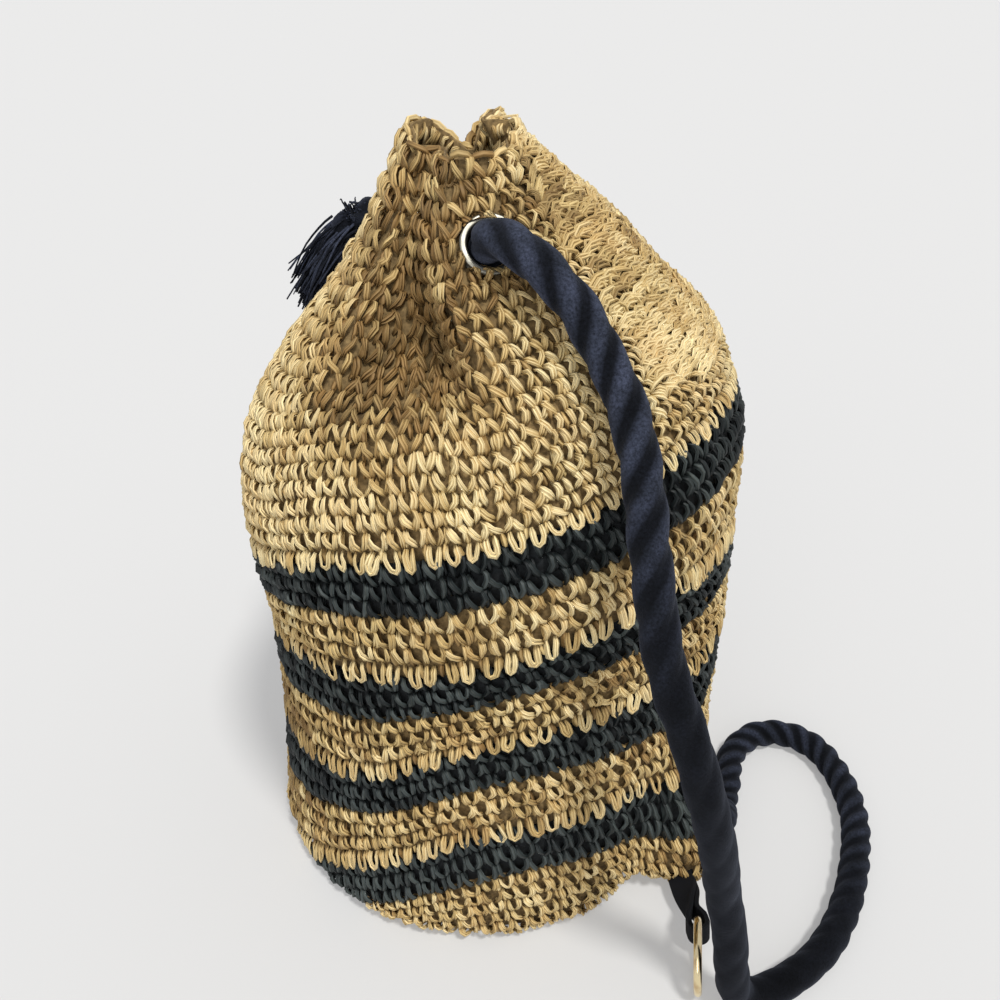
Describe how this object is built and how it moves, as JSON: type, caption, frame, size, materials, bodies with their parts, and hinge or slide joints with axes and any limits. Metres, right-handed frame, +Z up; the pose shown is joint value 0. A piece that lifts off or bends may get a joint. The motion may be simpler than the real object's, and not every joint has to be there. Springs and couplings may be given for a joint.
{
  "type": "crocheted straw bucket backpack",
  "caption": "Drawstring bucket backpack crocheted from straw cord, with dark stripes, metal eyelets, a thick twisted rope strap and a webbing tab with a ring.",
  "frame": {"origin": "on the floor, at the middle of the bag's round base", "axes": "+Z up through the mouth, -Y towards the front of the bag, +X to the right as seen from the front"},
  "size_m": [0.3349, 0.2896, 0.3747],
  "materials": {
    "straw": "matt crocheted straw cord",
    "navy_straw": "matt crocheted straw cord, dyed dark navy",
    "rope": "soft twisted cotton, dark navy",
    "eyelet_metal": "polished nickel",
    "ring_metal": "polished pale brass",
    "webbing": "woven dark tape"
  },
  "bodies": {
    "root": {"straw_floor": "straw", "straw_base": "straw", "navy_stripe_4": "navy_straw", "straw_band_3": "straw", "navy_stripe_3": "navy_straw", "straw_band_2": "straw", "navy_stripe_2": "navy_straw", "straw_band_1": "straw", "navy_stripe_1": "navy_straw", "straw_shoulder": "straw", "straw_neck": "straw", "grommet_front": "eyelet_metal", "grommet_back": "eyelet_metal", "grommet_base": "eyelet_metal", "strap_rope": "rope", "mouth_rope": "rope", "back_knot": "rope", "base_knot": "rope", "ring": "ring_metal", "corner_tab": "webbing"}
  },
  "joints": []
}
